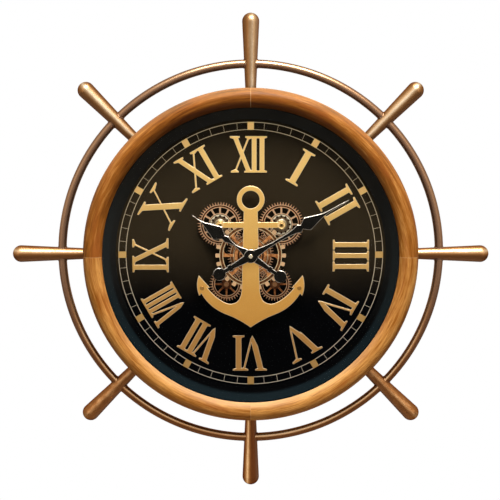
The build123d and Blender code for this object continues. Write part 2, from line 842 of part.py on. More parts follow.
# Anchor: ring, stock and one outline for shank, arms and flukes, drawn for the left and mirrored
def anchor_left():
    def at(place):
        return (-anchor_reach * place[0], -anchor_reach * place[1])

    top_middle = (0, anchor_bail_height - anchor_bail / 4)
    top = (-anchor_shank_top / 2, top_middle[1])
    foot = (-anchor_shank_foot / 2, -anchor_reach * anchor_shank_low)
    crown = (0, -anchor_reach * anchor_crown)
    edges = [
        Line(top_middle, top),
        Line(top, foot),
        Spline(foot, *[at(place) for place in anchor_inner_edge], at(anchor_inner_notch)),
        Line(at(anchor_inner_notch), at(anchor_inner_barb)),
        Line(at(anchor_inner_barb), at(anchor_fluke_tip)),
        ThreePointArc(at(anchor_fluke_tip), at(anchor_fluke_back), at(anchor_outer_barb)),
        Line(at(anchor_outer_barb), at(anchor_outer_notch)),
        ThreePointArc(at(anchor_outer_notch), at(anchor_outer_curve), at(anchor_crown_side)),
        ThreePointArc(at(anchor_crown_side), at(anchor_crown_bend), crown),
        Line(crown, top_middle),
    ]
    return make_face(edges)


left_half = anchor_left()
anchor_face = left_half + mirror(left_half, Plane.YZ)
anchor_face += Pos(0, anchor_bail_height) * Circle(anchor_bail / 2)
anchor_face += Pos(0, upper_y) * Rectangle(2 * upper_x, anchor_stock)
for x, y in post_places["upper"]:
    anchor_face += Pos(x, y) * Circle(anchor_stock_end / 2)
anchor_face -= Pos(0, anchor_bail_height) * Circle(anchor_bail_hole / 2)
anchor_face -= Circle(anchor_hole / 2)
for x, y in post_places["upper"] + post_places["fluke"]:
    anchor_face -= Pos(x, y) * Circle(anchor_screw / 2 + hole_clearance)
anchor = Pos(0, 0, anchor_back) * extrude(anchor_face, anchor_thickness)
anchor_fixing = headed_screw(
    anchor_screw, anchor_screw_length - end_play, anchor_screw_head, anchor_screw_rise
)
anchor_fixing = Pos(0, 0, anchor_front) * Rot(180, 0, 0) * anchor_fixing
anchor_screws = [Pos(x, y) * anchor_fixing for x, y in post_places["upper"] + post_places["fluke"]]


# Hands point along x here, and the blade is drawn above x and mirrored
def hand_blade(reach, width, outline):
    def at(place):
        return (reach * place[0], width / 2 * place[1])

    root = at(outline["root"])
    bead = at(outline["bead"])
    notch = at(outline["notch"])
    shoulder = at(outline["shoulder"])
    edges = [
        Spline(root, *[at(place) for place in outline["neck"]], bead),
        Line(bead, notch),
        Line(notch, shoulder),
        Spline(shoulder, *[at(place) for place in outline["point"]], (reach, 0)),
        Line((reach, 0), (0, 0)),
        Line((0, 0), root),
    ]
    half = make_face(edges)
    return half + mirror(half, Plane.XZ)


# The stem is twice as wide at the hub as at its disc
def hand_tail(width):
    collar = tail_centre - tail_disc
    bar = make_face(
        Polyline(
            (0, width),
            (-collar, width / 2),
            (-tail_centre, width / 2),
            (-tail_centre, -width / 2),
            (-collar, -width / 2),
            (0, -width),
            close=True,
        )
    )
    ferrule = Pos(-collar, 0) * Rectangle(width * ferrule_length, width * ferrule_width)
    return bar + ferrule + Pos(-tail_centre, 0) * Circle(tail_disc / 2)


def hand(blade, tail_width, bore, low, turn):
    face = blade + hand_tail(tail_width) + Circle(hand_hub / 2) - Circle(bore)
    return Rot(0, 0, 90 - turn) * Pos(0, 0, low) * extrude(face, hand_thickness)


minute_blade = hand_blade(minute_reach, minute_width, minute_outline)
hour_blade = hand_blade(hour_reach, hour_width, hour_outline)
tube_radius = stem_bore / 2 - running_fit * 2
arbor_radius = minute_arbor_diameter / 2
hour_hand = hand(hour_blade, hour_tail, tube_radius + hole_clearance, hour_back, hour_turn)
minute_hand = hand(minute_blade, minute_tail, arbor_radius + hole_clearance, minute_back, minute_turn)
nut_front = minute_front + hand_nut_height
hand_nut = disc(hand_nut_diameter / 2, minute_front, nut_front)
hand_nut = fillet(hand_nut.edges().group_by(Axis.Z)[-1], hand_nut_height / 2)
hand_nut -= disc(arbor_radius + hole_clearance, minute_front, minute_front + hand_nut_height / 2)

# Movement: case with threaded stem in front, cover behind, the cell across the joint between them
movement_height = movement_above + movement_below
movement_middle = (movement_above - movement_below) / 2
bay_radius = cell_diameter / 2 + cell_clearance
bay_length = cell_length + cell_nub_height + 2 * contact_thickness
chamber_low = bay_radius + case_wall - cell_drop
chamber_high = movement_above - case_wall
chamber_width = movement_width - 2 * case_wall


# Trough for a cell lying along x, open to the rear
def cell_bay(drop, back):
    round_part = Pos(0, -drop, cell_level) * Rot(0, 90, 0) * Cylinder(bay_radius, bay_length)
    mouth = Pos(0, -drop) * block(bay_length, 2 * bay_radius, back, cell_level)
    return round_part + mouth


def chamber(width, low_edge, high_edge, low, high):
    return Pos(0, (low_edge + high_edge) / 2) * block(width, high_edge - low_edge, low, high)


arbor_bore = arbor_radius + running_fit
pivot_radius = motion_arbor / 2
pivot_bore = pivot_radius + running_fit
motion_place = Pos(0, motion_distance)
movement_block = block(movement_width, movement_height, cell_level, dial_back, case_corner)
movement_block = Pos(0, movement_middle) * movement_block
movement_case = movement_block - chamber(
    chamber_width, chamber_low, chamber_high, cell_level, dial_back - case_wall
)
movement_case += disc(stem_diameter / 2, dial_back - case_wall, stem_end)
movement_case -= disc(stem_bore / 2, 0, stem_end)
movement_case -= motion_place * disc(pivot_bore, 0, dial_back - case_wall / 3)
movement_case -= cell_bay(cell_drop, movement_back)

boss_top = motion_back - end_play
boss = disc(bearing_boss / 2, movement_back, boss_top)
cover_block = block(movement_width, movement_height, movement_back, cell_level, case_corner)
cover_block = Pos(0, movement_middle) * cover_block
movement_cover = cover_block - chamber(
    chamber_width, chamber_low, chamber_high, movement_back + case_wall, cell_level
)
movement_cover += boss
movement_cover += motion_place * boss
movement_cover -= disc(arbor_bore, movement_back + case_wall, boss_top)
movement_cover -= motion_place * disc(pivot_bore, 0, boss_top)
movement_cover -= cell_bay(cell_drop, movement_back)

# Motion work: cannon pinion, motion wheel and pinion, hour wheel
motion_phase = meshed(cannon_teeth, train_phase, motion_teeth, 90)
hour_phase = meshed(motion_pinion_teeth, motion_phase, hour_teeth, -90)
minute_arbor = Pos(0, 0, motion_back) * extrude(
    spur(cannon_teeth, motion_module, train_phase, motion_tooth), motion_thickness
)
minute_arbor += disc(arbor_radius, movement_back + case_wall + end_play, minute_front + hand_nut_height / 2)
motion_wheel = Pos(0, 0, motion_back) * extrude(
    spur(motion_teeth, motion_module, motion_phase, motion_tooth), motion_thickness
)
motion_pinion = spur(motion_pinion_teeth, motion_module, motion_phase, motion_tooth)
pinion_height = hour_wheel_front - motion_back
motion_wheel += Pos(0, 0, motion_back) * extrude(motion_pinion, pinion_height)
knob_back = movement_back - knob_gap - knob_height
motion_wheel += disc(pivot_radius, knob_back, dial_back - case_wall / 2)
motion_wheel = motion_place * motion_wheel
hour_tube = Pos(0, 0, hour_wheel_back) * extrude(
    spur(hour_teeth, motion_module, hour_phase, motion_tooth), motion_thickness
)
hour_tube += disc(tube_radius, hour_wheel_back, hour_front)
hour_tube -= disc(hour_tube_bore / 2, 0, hour_front)

knob_face = Circle(knob_diameter / 2) - Circle(pivot_radius + hole_clearance)
for rib in range(knob_ribs):
    x, y = polar(knob_diameter / 2, rib * 360 / knob_ribs)
    knob_face -= Pos(x, y) * Circle(knob_rib)
set_knob = motion_place * Pos(0, 0, knob_back) * extrude(knob_face, knob_height)


# Cells lie along x with the nub at the right, each between two contact plates
def cell(drop):
    body = Cylinder(cell_diameter / 2, cell_length)
    nub = Pos(0, 0, (cell_length + cell_nub_height) / 2) * Cylinder(cell_nub / 2, cell_nub_height)
    return Pos(-cell_nub_height / 2, -drop, cell_level) * Rot(0, 90, 0) * (body + nub)


def contacts(drop):
    plate = Box(contact_thickness, contact_width, contact_width)
    reach = (bay_length - contact_thickness) / 2
    return [Pos(side * reach, -drop, cell_level) * plate for side in (-1, 1)]


# Gear motor box under the movement
motor_middle = -motor_top - motor_height / 2
motor_room = motor_diameter / 2 + running_fit
motor_place = Pos(0, -pinion_distance)
motor_block = block(motor_width, motor_height, cell_level, dial_back, case_corner)
motor_block = Pos(0, motor_middle) * motor_block
motor_case = motor_block - motor_place * disc(motor_room, 0, motor_front)
motor_case -= motor_place * disc(pinion_shaft, 0, dial_back)
motor_case -= cell_bay(motor_cell_drop, movement_back)
motor_cover = block(motor_width, motor_height, movement_back, cell_level, case_corner)
motor_cover = Pos(0, motor_middle) * motor_cover
motor_cover -= motor_place * disc(motor_room, motor_back, cell_level)
motor_cover -= cell_bay(motor_cell_drop, movement_back)
gear_motor = disc(motor_diameter / 2, motor_back, motor_front)
gear_motor -= disc(pinion_shaft / 2 + running_fit, motor_back + case_wall, motor_front)
gear_motor = motor_place * gear_motor

drops = (cell_drop, motor_cell_drop)
nodes = {
    "case_band": [case_band],
    "back_board": [back_board],
    "hanger_plate": [hanger],
    "board_screws": board_screws,
    "band_screws": around(band_fixing, handle_count, half_step),
    "rim_screws": around(rim_fixing, handle_count, half_step),
    "handle_screws": around(bolt_in_place, handle_count),
    "glass": [glass],
    "spacer_ring": [spacer_ring],
    "dial": [dial],
    "dial_pillars": around(pillar, pillar_count, pillar_turn),
    "hour_numerals": numerals,
    "anchor": [anchor],
    "anchor_screws": anchor_screws,
    "dial_posts": dial_posts,
    "gear_washers": gear_washers,
    "post_nuts": post_nuts,
    "centre_bush": [centre_bush],
    "stem_nut": [stem_nut],
    "centre_gear": [centre_gear],
    "castle_wheel": [castle_wheel],
    "upper_gear_left": [upper_gears[0]],
    "upper_gear_right": [upper_gears[1]],
    "lower_gear_left": [lower_gears[0]],
    "lower_gear_right": [lower_gears[1]],
    "drive_pinion": [drive_pinion],
    "gear_motor": [gear_motor],
    "motor_case": [motor_case],
    "motor_cover": [motor_cover],
    "movement_case": [movement_case],
    "movement_cover": [movement_cover],
    "aa_cells": [cell(drop) for drop in drops],
    "cell_contacts": [plate for drop in drops for plate in contacts(drop)],
    "minute_arbor": [minute_arbor],
    "minute_hand": [minute_hand],
    "hand_nut": [hand_nut],
    "hour_tube": [hour_tube],
    "hour_hand": [hour_hand],
    "motion_wheel": [motion_wheel],
    "set_knob": [set_knob],
}
for i in range(handle_count):
    nodes[f"handle_{i + 1}"] = [Rot(0, 0, 90 - i * handle_step) * handle]
    nodes[f"rim_arc_{i + 1}"] = [Rot(0, 0, 90 - (i + 1) * handle_step) * rim_arc]
for i in range(4):
    nodes[f"wood_rim_{i + 1}"] = [Rot(0, 0, -90 * i) * wood_quarter]

os.makedirs("parts", exist_ok=True)
for name, shapes in nodes.items():
    standing = [Rot(90, 0, 0) * solid for shape in shapes for solid in shape.solids()]
    whole = standing[0] if len(standing) == 1 else Compound(standing)
    export_step(whole, f"parts/{name}.step")
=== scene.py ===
import bpy
import bmesh
import math
import numpy as np
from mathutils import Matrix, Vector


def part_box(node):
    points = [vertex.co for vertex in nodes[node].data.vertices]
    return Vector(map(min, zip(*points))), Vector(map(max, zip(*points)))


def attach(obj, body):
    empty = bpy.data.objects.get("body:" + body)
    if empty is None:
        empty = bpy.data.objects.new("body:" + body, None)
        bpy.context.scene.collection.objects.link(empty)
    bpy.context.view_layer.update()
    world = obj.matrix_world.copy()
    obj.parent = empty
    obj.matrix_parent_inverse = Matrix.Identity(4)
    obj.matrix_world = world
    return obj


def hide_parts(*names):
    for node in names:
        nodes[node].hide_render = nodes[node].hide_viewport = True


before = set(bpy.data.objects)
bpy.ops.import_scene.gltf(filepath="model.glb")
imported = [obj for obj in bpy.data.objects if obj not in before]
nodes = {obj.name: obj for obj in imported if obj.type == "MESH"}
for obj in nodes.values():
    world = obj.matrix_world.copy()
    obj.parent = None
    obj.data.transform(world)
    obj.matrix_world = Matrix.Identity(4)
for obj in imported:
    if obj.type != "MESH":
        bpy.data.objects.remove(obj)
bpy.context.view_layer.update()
print("frame loaded:", len(nodes), "nodes")

# sockets that are told apart by number: Object coordinates, and those of a Mix node for colours
objectOut, mixMask, mixFirst, mixSecond, mixOut = 3, 0, 6, 7, 2


class Wire:
    # one output socket; the operators add Math nodes, node() adds any other
    def __init__(self, tree, socket=None):
        self.tree = tree
        self.socket = socket

    def node(self, kind, settings=None, sockets=None, out=0):
        made = self.tree.nodes.new("ShaderNode" + kind)
        for name, value in (settings or {}).items():
            if name == "stops":  # a ramp's stops: (place, colour)
                ramp = made.color_ramp.elements
                while len(ramp) < len(value):
                    ramp.new(0.5)
                for stop, (place, colour) in zip(ramp, value):
                    stop.position = place
                    stop.color = (*colour, 1)
            else:
                setattr(made, name, value)
        for name, value in (sockets or {}).items():
            if isinstance(value, Wire):
                self.tree.links.new(value.socket, made.inputs[name])
            else:
                made.inputs[name].default_value = value
        return Wire(self.tree, made.outputs[out])

    def math(self, operation, first, second=0.0):
        return self.node("Math", {"operation": operation}, {0: first, 1: second})

    def __add__(self, other):
        return self.math("ADD", self, other)

    def __radd__(self, other):
        return self.math("ADD", other, self)

    def __sub__(self, other):
        return self.math("SUBTRACT", self, other)

    def __rsub__(self, other):
        return self.math("SUBTRACT", other, self)

    def __mul__(self, other):
        return self.math("MULTIPLY", self, other)

    def __rmul__(self, other):
        return self.math("MULTIPLY", other, self)

    def __truediv__(self, other):
        return self.math("DIVIDE", self, other)

    def __neg__(self):
        return self.math("SUBTRACT", 0.0, self)

    def __abs__(self):
        return self.math("ABSOLUTE", self)

    def __gt__(self, other):
        return self.math("GREATER_THAN", self, other)

    def __lt__(self, other):
        return self.math("LESS_THAN", self, other)

    def step(self, low, high):
        # 0 below low, 1 above high, smooth between
        return self.node("MapRange", {"interpolation_type": "SMOOTHSTEP"},
                         {"Value": self, "From Min": low, "From Max": high})

    def steps(self, start, *changes):
        # start, and each change added by a step from its low to its high
        for change, low, high in changes:
            start = start + change * self.step(low, high)
        return start

    def band(self, low, high, soft):
        # 1 between low and high, with soft edges
        return self.step(low - soft, low + soft) * (1 - self.step(high - soft, high + soft))

    def swing(self):
        # a noise about zero
        return self - 0.5

    def ramp(self, stops):
        return self.node("ValToRGB", {"stops": stops}, {0: self})

    def axes(self):
        split = self.node("SeparateXYZ", None, {0: self})
        return [Wire(self.tree, split.socket.node.outputs[k]) for k in range(3)]

    def joined(self, x, y, z):
        return self.node("CombineXYZ", None, {0: x, 1: y, 2: z})

    def length(self, x, z):
        # distance from the axis that x and z are square to
        return self.math("SQRT", x * x + z * z)

    def noise(self, place, scale, detail=3.0, rough=0.55):
        return self.node("TexNoise", None,
                         {"Vector": place, "Scale": scale, "Detail": detail, "Roughness": rough})

    def mix(self, mask, first, second):
        # colours given as (r, g, b) or as wires
        full = [c if isinstance(c, Wire) else (*c, 1) for c in (first, second)]
        return self.node("Mix", {"data_type": "RGBA"},
                         {mixMask: mask, mixFirst: full[0], mixSecond: full[1]}, mixOut)

    def bump(self, height, strength, distance):
        return self.node("Bump", None,
                         {"Strength": strength, "Distance": distance, "Height": height})


def finish(name, fixed, draw):
    # a Principled material: fixed holds its constant sockets, draw gives the ones that vary
    material = bpy.data.materials.new(name)
    material.use_nodes = True
    tree = material.node_tree
    shader = tree.nodes["Principled BSDF"]
    for socket, value in fixed.items():
        shader.inputs[socket].default_value = value
    wire = Wire(tree)
    place = wire.node("TexCoord", out=objectOut)
    for socket, value in draw(wire, place).items():
        tree.links.new(value.socket, shader.inputs[socket])
    return material


def turned(wire, place, degrees):
    # Object coordinates turned about the clock's axis: z runs out along that clock angle, x across it
    return wire.node("Mapping", None, {"Vector": place, "Rotation": (0, math.radians(-degrees), 0)})


bronze = {
    # from unlit brown to the painted highlight, low on the wheel and high on it
    "low": [(0.0, (0.160, 0.048, 0.013)), (0.40, (0.270, 0.090, 0.022)),
            (0.70, (0.520, 0.225, 0.070)), (1.0, (0.950, 0.580, 0.280))],
    "high": [(0.0, (0.165, 0.070, 0.026)), (0.40, (0.235, 0.102, 0.032)),
             (0.70, (0.390, 0.235, 0.115)), (1.0, (0.640, 0.500, 0.340))],
    "metal": 0.90, "gloss": 0.3, "edge": (0.30, 0.18, 0.10), "rough": 0.36, "roughMore": 0.08,
    "rim": 0.285, "rod": 0.00635, "tilt": 2.5,
    "root": (0.238, 0.0080), "end": (0.347, 0.0130),  # a handle's half width at two places along it
    "patches": (60.0, 3.0, 0.55), "patchStretch": 0.25, "patchShare": 0.7,
    "specks": (230.0, 3.0, 0.6), "speckStretch": 0.3,
    "under": (0.300, 0.180, 0.115), "underSpan": (0.45, 1.0), "underShare": 0.6,
    "greyedTop": (0.300, 0.225, 0.165), "greyedTopSpan": (-0.7, 0.0), "greyedTopShare": 0.30,
}
# where the painted highlight band lies, how fast it fades, how strong it is, how much paler it is painted
# towards the top of the wheel as light from above, and how speckled it is: each a value at the foot of the
# wheel and its changes upwards, over z for a handle and over z / radius for the rim
sideSheenAndSpecks = {"strength": [0.62, (0.36, -0.10, 0.05)], "paler": [0.45, (0.55, -0.30, 0.34)],
            "speckled": [1.4, (-1.2, -0.2, -0.05)]}
sheenAndSpecks = {
    "rim": {"sheenMiddle": [0.42], "slope": [1.7], "strength": [1.02, (-0.54, -0.8, 0.1), (0.46, 0.80, 1.0)],
            "paler": [0.40, (0.40, -0.5, 0.2)], "speckled": [0.2]},
    "upright": {"sheenMiddle": [0.40, (-0.60, -0.1, 0.1)], "slope": [1.8, (-0.9, -0.1, 0.1)],
                "strength": [1.0, (-0.12, -0.1, 0.1)], "paler": [0.0, (1.0, -0.1, 0.1)], "speckled": [0.2]},
    "leaning": {"sheenMiddle": [0.24], "slope": [0.95, (0.2, -0.1, 0.1)], **sideSheenAndSpecks},
    "level": {"sheenMiddle": [0.42], "slope": [1.35], **sideSheenAndSpecks},
}


def bronzeFinish(name, kind, degrees=None):
    # brown bronze with a painted highlight band along the upper side, painted paler towards the top of the
    # wheel as light from above, and a painted reflection of the floor on the lower side: paintedSheen = (1 -
    # slope * distance from the band + noise)
    # * strength; degrees is a handle's clock angle
    def draw(wire, place):
        x, y, z = place.axes()
        if kind == "rim":
            radius = wire.length(x, z)
            along = wire.math("ARCTAN2", x, z) * bronze["rim"]
            across = radius - bronze["rim"]
            height = z / radius
            tilt = wire.math("MAXIMUM", wire.math("MINIMUM", height * bronze["tilt"], 1.0), -1.0)
            side = across * tilt / bronze["rod"]
        else:
            across, along = turned(wire, place, degrees).axes()[::2]
            height = z
            (start, thin), (stop, thick) = bronze["root"], bronze["end"]
            half = (abs(along) - start) * ((thick - thin) / (stop - start)) + thin
            side = -across / half
        sheenMiddle, slope, strength, paler, speckled = [height.steps(*change) for change in sheenAndSpecks[kind].values()]
        patches = wire.noise(wire.joined(along * bronze["patchStretch"], y, across), *bronze["patches"])
        specks = wire.noise(wire.joined(along * bronze["speckStretch"], y, across), *bronze["specks"])
        worn = patches.swing() * bronze["patchShare"] + specks.swing() * speckled
        # painted highlight: lightest in the band along the side that faces the light
        paintedSheen = (1 - abs(side - sheenMiddle) * slope + worn) * strength
        colour = wire.mix(paler, paintedSheen.ramp(bronze["low"]), paintedSheen.ramp(bronze["high"]))
        # painted reflection of the pale floor on the side away from the highlight band
        under = (-side).step(*bronze["underSpan"])
        colour = wire.mix(under * bronze["underShare"], colour, bronze["under"])
        if kind == "rim":
            # greyer over the upper part of the rim, toning its painted highlight to beige
            greyedTop = height.step(*bronze["greyedTopSpan"])
            colour = wire.mix(greyedTop * bronze["greyedTopShare"], colour, bronze["greyedTop"])
        return {"Base Color": colour, "Roughness": bronze["rough"] + bronze["roughMore"] * patches}
    return finish(name, {"Metallic": bronze["metal"], "Specular IOR Level": bronze["gloss"],
                         "Specular Tint": (*bronze["edge"], 1)}, draw)


teak = {
    "dark": (0.090, 0.023, 0.003), "middle": (0.330, 0.110, 0.015), "light": (0.690, 0.330, 0.085),
    "stops": (0.34, 0.51, 0.70), "heart": (0.300, 0.082, 0.016), "lowLight": (0.480, 0.140, 0.006),
    "sheenPale": (0.800, 0.520, 0.270), "glue": (0.62, 0.38, 0.17),
    "radius": 0.235, "half": 0.015, "flat": 0.10,
    "wander": (18.0, 3.0), "wanderStretch": 0.5, "wanderReach": 0.010,
    "figure": (150.0, 4.0, 0.68), "figureStretch": 0.07, "figureDepth": 0.7, "figureShare": 0.62,
    "streaks": (520.0, 3.0, 0.6), "streakStretch": 0.05, "streakShare": 0.26,
    "cloud": (15.0, 2.0), "cloudShare": 0.18,
    "pores": (1500.0, 2.0, 0.5), "poreStretch": 0.06, "poreSpan": (0.58, 0.72), "poreShare": 0.45,
    "heartwood": (62.0, 3.0, 0.6), "heartStretch": 0.16, "heartSpan": (0.50, 0.70), "heartShare": 0.70,
    # by height on the wheel: change of tone, a painted pale sheen on the upper side, painted warm light and
    # painted shade on the lower one
    "topTone": (-0.07, 0.50, 0.95), "sheenShare": [0.60, (-0.40, -0.4, 0.6)], "sheenSpan": (0.1, 1.1),
    "lowLightShare": [0.50, (-0.50, -0.4, 0.6)], "lowLightSpan": (-0.2, 0.9),
    "shade": [0.08, (0.38, -0.1, 0.5), (0.42, 0.6, 1.0)], "shadeSpan": (-0.65, 0.8),
    "glueWidth": 0.00035, "glueShare": 0.5,
    "rough": 0.40, "poreRough": 0.14, "streakRough": 0.08, "poreBump": 0.6, "bump": (0.12, 0.0004),
    "coat": 0.03, "coatRough": 0.25, "gloss": 0.06,
}


def teakFinish(name, degrees, tone, drift):
    # one board for each quarter: streaks that follow the arc and flatten a little towards the board's
    # middle, heartwood, pores, a painted pale sheen on the side that faces up, painted warm light and painted
    # shade on the side that faces down, glue line at both ends
    def draw(wire, place):
        x, z = place.axes()[::2]
        radius = wire.length(x, z)
        rise = z / radius
        upper = (radius - teak["radius"]) * rise / teak["half"]
        side, depth, up = turned(wire, place, degrees).axes()
        angle = wire.math("ARCTAN2", side, up)
        along = angle * teak["radius"]
        bow = (wire.math("COSINE", angle) - 1) * (teak["flat"] * teak["radius"])
        across = wire.length(side, up) + bow
        wander = wire.joined(along * teak["wanderStretch"] + drift, depth, across)
        across = across + wire.noise(wander, *teak["wander"]) * teak["wanderReach"]
        figure = wire.joined(along * teak["figureStretch"] + drift, depth * teak["figureDepth"], across)
        figure = wire.noise(figure, *teak["figure"])
        streaks = wire.joined(along * teak["streakStretch"], depth + drift, across)
        streaks = wire.noise(streaks, *teak["streaks"])
        cloud = wire.noise(wire.joined(along + drift, depth, across), *teak["cloud"])
        pores = wire.joined(along * teak["poreStretch"], depth, across + drift)
        pores = wire.noise(pores, *teak["pores"]).step(*teak["poreSpan"])
        heart = wire.joined(along * teak["heartStretch"] + drift, depth + drift, across)
        heart = wire.noise(heart, *teak["heartwood"]).step(*teak["heartSpan"])
        grain = figure * teak["figureShare"] + streaks * teak["streakShare"] + cloud * teak["cloudShare"]
        tones = list(zip(teak["stops"], (teak["dark"], teak["middle"], teak["light"])))
        colour = (grain + rise.steps(tone, teak["topTone"])).ramp(tones)
        colour = wire.mix(heart * teak["heartShare"], colour, teak["heart"])
        colour = wire.mix(pores * teak["poreShare"], colour, teak["dark"])
        # painted light by facing: a pale sheen where the section faces up, warm light and shade where it faces
        # down
        for facing, span, share, shade in ((upper, "sheenSpan", "sheenShare", "sheenPale"),
                                           (-upper, "lowLightSpan", "lowLightShare", "lowLight"),
                                           (-upper, "shadeSpan", "shade", "dark")):
            mask = facing.step(*teak[span]) * rise.steps(*teak[share])
            colour = wire.mix(mask, colour, teak[shade])
        seam = wire.math("MINIMUM", abs(x), abs(z))
        colour = wire.mix((seam < teak["glueWidth"]) * teak["glueShare"], colour, teak["glue"])
        return {"Base Color": colour,
                "Roughness": teak["rough"] + teak["poreRough"] * pores + teak["streakRough"] * streaks,
                "Normal": wire.bump(streaks - pores * teak["poreBump"], *teak["bump"])}
    return finish(name, {"Coat Weight": teak["coat"], "Coat Roughness": teak["coatRough"],
                         "Specular IOR Level": teak["gloss"]}, draw)


gilt = {"span": 0.15, "middle": 0.5, "cloud": (38.0, 3.0), "cloudShare": 0.22, "brush": (1300.0, 2.0),
        "brushStretch": 0.03, "brushShare": 0.16, "roughMore": 0.10, "bump": (0.04, 0.0002)}


def giltFinish(name, high, low, rough=0.40):
    # satin gilt, high colour at the top and low at the foot, a change that paints the light falling from above:
    # cloudy tone and fine upright brushing
    def draw(wire, place):
        x, y, z = place.axes()
        cloud = wire.noise(place, *gilt["cloud"]).swing()
        brush = wire.noise(wire.joined(x, y, z * gilt["brushStretch"]), *gilt["brush"])
        tone = z / (2 * gilt["span"]) + gilt["middle"] + cloud * gilt["cloudShare"]
        tone = tone + brush.swing() * gilt["brushShare"]
        return {"Base Color": wire.mix(tone.step(0.0, 1.0), low, high),
                "Roughness": rough + gilt["roughMore"] * brush.swing(),
                "Normal": wire.bump(brush, *gilt["bump"])}
    return finish(name, {"Metallic": 1.0}, draw)


copper = {
    "bright": (0.82, 0.33, 0.110), "deep": (0.210, 0.060, 0.018), "line": (1.00, 0.69, 0.41),
    "tooth": (0.92, 0.50, 0.265), "shade": (0.030, 0.009, 0.005), "pale": (0.96, 0.82, 0.56),
    "gold": (0.80, 0.51, 0.18), "dim": (0.150, 0.100, 0.055),
    "rings": (2600.0, 2.0), "ringShare": 0.25, "stain": (150.0, 4.0, 0.65), "stainShare": 0.75,
    "toneSpan": (0.36, 0.66), "toothEdge": 0.0004, "toothShare": 0.8,
    "zoneEdge": 0.0004, "spokesShare": 0.55, "hubShare": 0.75,
    "hair": 0.00035, "hairEdge": 0.0002, "hairShare": 0.88,
    "below": (0.0001, 0.0006), "belowShare": 0.92,
    "proud": 0.0001, "bossEdge": 0.0001, "bossShadeBehind": (0.0002, 0.0005), "capEdge": 0.0003,
    "rough": 0.30, "roughMore": 0.14, "bump": (0.06, 0.0002),
}


def copperFinish(name, gear):
    # turned copper: rings about the gear's own middle, pale teeth, thin pale lines painted as glints on the
    # edges, grooves painted dark as shade and painted shade below the front face; a boss in front of it is dim,
    # with a pale ring and collar, a gold cap and painted shade behind its front
    def draw(wire, place):
        x, y, z = wire.node("Mapping", None, {"Vector": place, "Location": gear["shift"]}).axes()
        radius = wire.length(x, z)
        rings = wire.noise(wire.joined(radius, 0.0, 0.0), *copper["rings"])
        stain = wire.noise(place, *copper["stain"])
        tone = (stain * copper["stainShare"] + rings * copper["ringShare"]).step(*copper["toneSpan"])
        light, deep, line, tooth = [[min(1.0, c * gear["bright"]) for c in copper[shade]]
                                    for shade in ("bright", "deep", "line", "tooth")]
        colour = wire.mix(tone, deep, light)
        teeth = radius.step(gear["teeth"], gear["teeth"] + copper["toothEdge"])
        colour = wire.mix(teeth * copper["toothShare"], colour, tooth)
        for part, shade in (("spokes", line), ("hub", copper["shade"])):
            if part in gear:
                zone = radius.band(*gear[part], copper["zoneEdge"])
                colour = wire.mix(zone * copper[part + "Share"], colour, shade)
        # painted shade in the grooves and painted glints along the edges
        for edges, shade in ((gear["grooves"], copper["shade"]), (gear["lines"], line)):
            for edge in edges:
                strip = radius.band(edge - copper["hair"], edge + copper["hair"], copper["hairEdge"])
                colour = wire.mix(strip * copper["hairShare"], colour, shade)
        # painted shade on all that lies behind the front face
        below = (y + gear["front"]).step(*copper["below"])
        colour = wire.mix(below * copper["belowShare"], colour, copper["shade"])
        if "boss" in gear:
            ring = radius.band(*gear["ring"], copper["capEdge"])
            collar = radius.band(gear["cap"], gear["collar"], copper["capEdge"])
            cap = 1 - radius.step(gear["cap"] - copper["capEdge"], gear["cap"])
            top = wire.mix(ring, copper["dim"], copper["pale"])
            # painted shade on the boss behind its front face
            top = wire.mix((y + gear["bossFront"]).step(*copper["bossShadeBehind"]), top, copper["shade"])
            top = wire.mix(collar, top, copper["pale"])
            top = wire.mix(cap, top, copper["gold"])
            inside = 1 - radius.step(gear["boss"], gear["boss"] + copper["bossEdge"])
            raised = y < -copper["proud"] - gear["front"]
            colour = wire.mix(raised * inside, colour, top)
        return {"Base Color": colour,
                "Roughness": copper["rough"] + copper["roughMore"] * (1 - tone),
                "Normal": wire.bump(rings, *copper["bump"])}
    return finish(name, {"Metallic": 1.0}, draw)


plain = {"cloudScale": 0.06, "cloudShare": 0.55, "detail": 3.0, "speckRough": 0.6, "speckShare": 0.45,
         "toneSpan": (0.32, 0.68), "roughMore": 0.10, "bump": 0.25}


def plainFinish(name, light, deep, rough, grain, depth, fixed=None):
    # cloudy tone between two colours over a fine grain of the given scale and depth
    def draw(wire, place):
        cloud = wire.noise(place, grain * plain["cloudScale"], plain["detail"])
        speck = wire.noise(place, grain, plain["detail"], plain["speckRough"])
        tone = (cloud * plain["cloudShare"] + speck * plain["speckShare"]).step(*plain["toneSpan"])
        return {"Base Color": wire.mix(tone, deep, light),
                "Roughness": rough + plain["roughMore"] * speck.swing(),
                "Normal": wire.bump(speck, plain["bump"], depth)}
    return finish(name, fixed or {}, draw)


brushed = {"stretch": 0.04, "lines": (1500.0, 2.0), "lineShare": 0.6, "cloud": (90.0, 3.0), "cloudShare": 0.4,
           "toneSpan": (0.3, 0.7), "roughMore": 0.14, "bump": (0.08, 0.0002)}


def brushedFinish(name, light, deep, rough, axis):
    # drawn metal with lines along one axis
    def draw(wire, place):
        parts = place.axes()
        parts[axis] = parts[axis] * brushed["stretch"]
        lines = wire.noise(wire.joined(*parts), *brushed["lines"])
        cloud = wire.noise(place, *brushed["cloud"])
        tone = (lines * brushed["lineShare"] + cloud * brushed["cloudShare"]).step(*brushed["toneSpan"])
        return {"Base Color": wire.mix(tone, deep, light),
                "Roughness": rough + brushed["roughMore"] * lines.swing(),
                "Normal": wire.bump(lines, *brushed["bump"])}
    return finish(name, {"Metallic": 1.0}, draw)


pane = {"tint": (0.010, 0.012, 0.012), "body": 0.040, "smear": 0.015, "smears": (16.0, 4.0, 0.6),
        "smearSpan": (0.45, 0.75), "rough": 0.05, "roughMore": 0.05, "gloss": 0.04}


